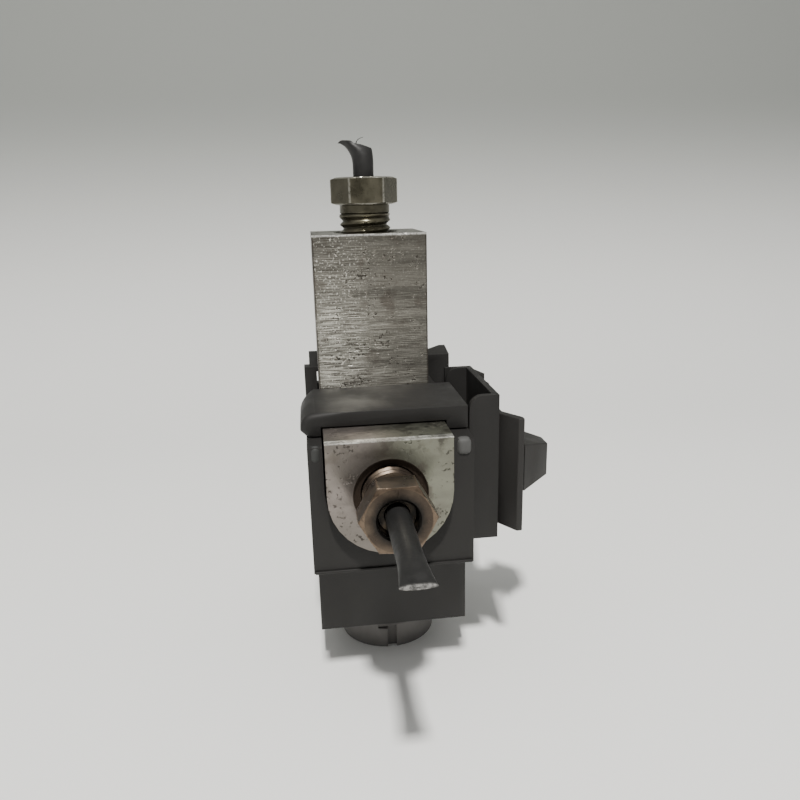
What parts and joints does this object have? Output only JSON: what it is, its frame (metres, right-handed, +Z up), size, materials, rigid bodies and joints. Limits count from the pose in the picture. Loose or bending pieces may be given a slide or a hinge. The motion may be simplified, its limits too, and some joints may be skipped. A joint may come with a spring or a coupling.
{
  "type": "solenoid valve",
  "caption": "Upright solenoid valve: L-shaped aluminium body with screwed tube fittings, in a black plastic bracket with a panel clip, over a square coil housing on a round plug socket.",
  "frame": {"origin": "middle of the bounding box in plan, on the plane that the plug socket's rim stands on", "axes": "+Z up along the plunger, the column and the outlet; -Y the way the inlet line leaves; +X the way the panel clip points"},
  "size_m": [0.048, 0.0804, 0.1041],
  "materials": {
    "milled_aluminium": "extruded and milled aluminium, with saw and mill marks",
    "plated_steel": "dull zinc-nickel plating, stained brownish with heat and oil",
    "soft_steel": "bare soft magnetic steel",
    "stainless": "drawn or turned stainless steel",
    "brass": "turned brass",
    "enamelled_copper": "enamelled copper wire, wound in layers",
    "black_nylon": "glass-filled black nylon, matte and moulded",
    "bobbin_plastic": "natural glass-filled plastic",
    "black_rubber": "black nitrile rubber",
    "line_plastic": "black polyamide air line, cut and pinched flat at its end",
    "resistor_ceramic": "ceramic resistor body"
  },
  "bodies": {
    "valve": {"valve_body": "milled_aluminium", "chamber_o_ring": "black_rubber", "valve_seat": "brass", "bracket_frame": "black_nylon", "retaining_strap": "black_nylon", "mount_clip": "black_nylon", "coil_housing": "black_nylon", "pin_front": "brass", "pin_rear": "brass", "suppressor_resistor": "resistor_ceramic", "vent_plug": "brass", "flux_yoke": "soft_steel", "flux_washer": "soft_steel", "coil_bobbin": "bobbin_plastic", "coil_winding": "enamelled_copper", "armature_tube": "stainless", "fixed_core": "soft_steel", "housing_screw_1": "stainless", "housing_screw_2": "stainless", "housing_screw_3": "stainless", "housing_screw_4": "stainless"},
    "plunger": {"plunger": "stainless", "exhaust_seal": "black_rubber", "supply_seal": "black_rubber", "plunger_spring": "stainless"},
    "inlet_line_set": {"inlet_collet": "brass", "inlet_line_seal": "black_rubber", "inlet_line_sleeve": "brass", "inlet_port_seal": "black_rubber", "inlet_line": "line_plastic"},
    "inlet_nut": {"inlet_fitting": "plated_steel"},
    "outlet_line_set": {"outlet_collet": "brass", "outlet_line_seal": "black_rubber", "outlet_line_sleeve": "brass", "outlet_port_seal": "black_rubber", "outlet_line": "line_plastic"},
    "outlet_nut": {"outlet_fitting": "plated_steel"}
  },
  "joints": [
    {"name": "plunger_slide", "type": "slide", "parent": "valve", "child": "plunger", "axis": [0, 0, -1], "range_m": [0, 0.0009], "stiffness_N_per_m": 300, "springref_m": -0.006, "deforming": ["plunger_spring"]},
    {"name": "inlet_line_slide", "type": "slide", "parent": "valve", "child": "inlet_line_set", "axis": [0, -1, 0], "range_m": [-0.00225, 0.006]},
    {"name": "inlet_nut_turn", "type": "hinge", "parent": "inlet_line_set", "child": "inlet_nut", "pos_m": [-0.00942, -0.0102, 0.04595], "axis": [0, -1, 0], "range_deg": [-541, 1441]},
    {"name": "outlet_line_slide", "type": "slide", "parent": "valve", "child": "outlet_line_set", "axis": [0, 0, 1], "range_m": [-0.00225, 0.006]},
    {"name": "outlet_nut_turn", "type": "hinge", "parent": "outlet_line_set", "child": "outlet_nut", "pos_m": [-0.00942, 0.0241, 0.08755], "axis": [0, 0, 1], "range_deg": [-541, 1441]}
  ],
  "couplings": [
    {"joint": "inlet_nut_turn", "follows": "inlet_line_slide", "rad_per_m": 4188.8},
    {"joint": "outlet_nut_turn", "follows": "outlet_line_slide", "rad_per_m": 4188.8}
  ]
}
